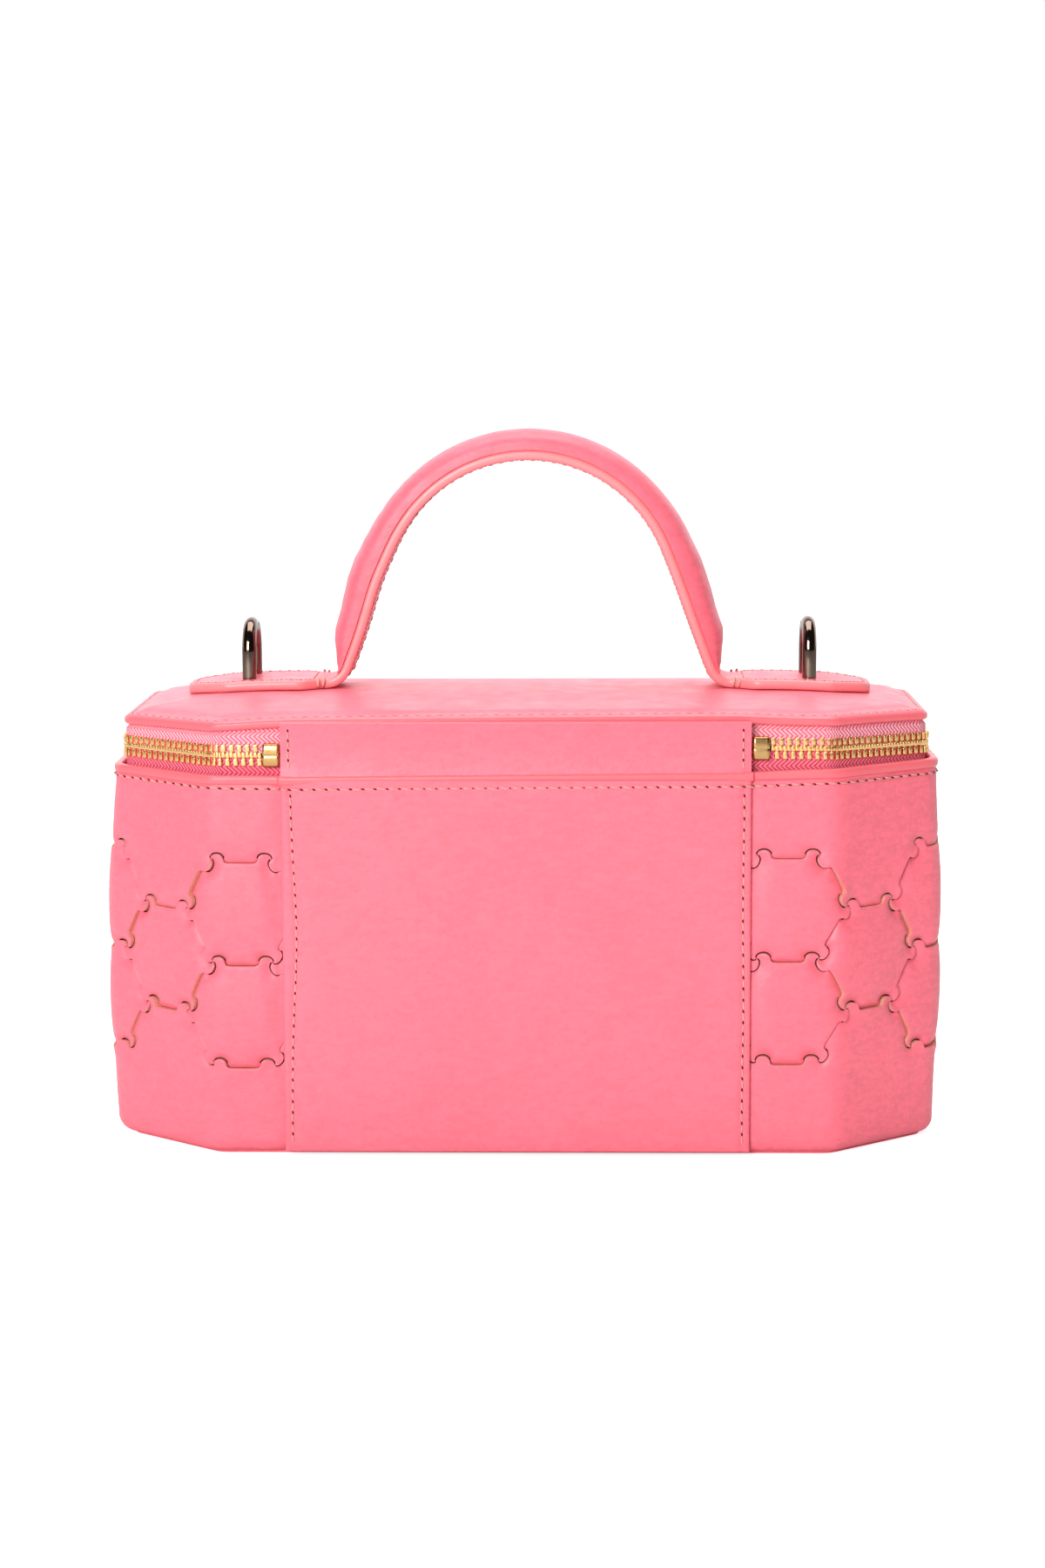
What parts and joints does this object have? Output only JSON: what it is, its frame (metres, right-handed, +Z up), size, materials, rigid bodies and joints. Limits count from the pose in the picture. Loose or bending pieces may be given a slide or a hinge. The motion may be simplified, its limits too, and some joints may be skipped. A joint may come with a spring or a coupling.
{
  "type": "makeup train case",
  "caption": "Eight-sided leather makeup train case with interlocked hexagonal leather cladding, a zipped hinged lid, an arched padded handle and metal loops for a strap.",
  "frame": {"origin": "centre of the base's underside, on the surface the case stands on", "axes": "+Z up; +X along the long side; the leather hinge is on the -Y side and the lid opens on the +Y side, where the zip sliders meet"},
  "size_m": [0.2316, 0.1126, 0.199],
  "materials": {
    "leather": "fine-grained smooth leather, semi-gloss",
    "painted_edge": "leather strap with coral painted edges",
    "board": "stiff fibreboard, bare",
    "lining": "soft suede-like lining",
    "zip_tape": "woven herringbone tape",
    "zip_metal": "polished brass",
    "loop_metal": "mirror-polished pale gold",
    "padding": "soft foam, hidden",
    "silvered_glass": "plain mirror"
  },
  "bodies": {
    "case": {"base_panel": "leather", "base_board": "board", "wall_board": "board", "body_lining": "lining", "rim_binding": "painted_edge", "back_panel": "leather", "upper_wrap": "leather", "lower_wrap": "leather", "hex_tile_01_upper": "leather", "hex_tile_01_lower": "leather", "hex_tile_02": "leather", "hex_tile_03_upper": "leather", "hex_tile_03_lower": "leather", "hex_tile_04": "leather", "hex_tile_05_upper": "leather", "hex_tile_05_lower": "leather", "hex_tile_06": "leather", "hex_tile_07_upper": "leather", "hex_tile_07_lower": "leather", "hex_tile_08": "leather", "hex_tile_09_upper": "leather", "hex_tile_09_lower": "leather", "hex_tile_10": "leather", "hex_tile_11_upper": "leather", "hex_tile_11_lower": "leather", "hex_tile_12": "leather", "hex_tile_13_upper": "leather", "hex_tile_13_lower": "leather", "hex_tile_14": "leather", "hex_tile_15_upper": "leather", "hex_tile_15_lower": "leather", "hex_tile_16": "leather", "hex_tile_17_upper": "leather", "hex_tile_17_lower": "leather", "hex_tile_18": "leather", "hex_tile_19_upper": "leather", "hex_tile_19_lower": "leather", "lower_zip_tape": "zip_tape", "lower_zip_teeth": "zip_metal", "zip_stop_right": "zip_metal", "zip_stop_left": "zip_metal", "hinge_strip": "leather"},
    "lid": {"upper_zip_tape": "zip_tape", "upper_zip_teeth": "zip_metal", "lid_cover": "leather", "lid_foam": "padding", "lid_board": "board", "lid_lining": "lining", "lid_mirror": "silvered_glass", "handle_strap": "painted_edge", "handle_cover": "leather", "handle_core": "padding", "strap_loop_right": "loop_metal", "strap_loop_left": "loop_metal", "loop_plate_right": "zip_metal", "loop_plate_left": "zip_metal"},
    "right_slider": {"slider_right": "zip_metal"},
    "left_slider": {"slider_left": "zip_metal"},
    "right_pull": {"pull_right": "zip_metal"},
    "left_pull": {"pull_left": "zip_metal"}
  },
  "joints": [
    {"name": "lid_hinge", "type": "hinge", "parent": "case", "child": "lid", "pos_m": [0, -0.0525, 0.113], "axis": [1, 0, 0], "range_deg": [0, 105], "deforming": ["hinge_strip"]},
    {"name": "right_slider_travel", "type": "slide", "parent": "case", "child": "right_slider", "axis": [1, 0, 0], "range_m": [0, 0.069]},
    {"name": "left_slider_travel", "type": "slide", "parent": "case", "child": "left_slider", "axis": [-1, 0, 0], "range_m": [0, 0.069]},
    {"name": "right_pull_swing", "type": "hinge", "parent": "right_slider", "child": "right_pull", "pos_m": [0.0065, 0.0552, 0.1126], "axis": [1, 0, 0], "range_deg": [0, 160]},
    {"name": "left_pull_swing", "type": "hinge", "parent": "left_slider", "child": "left_pull", "pos_m": [-0.0065, 0.0552, 0.1126], "axis": [1, 0, 0], "range_deg": [0, 160]}
  ]
}
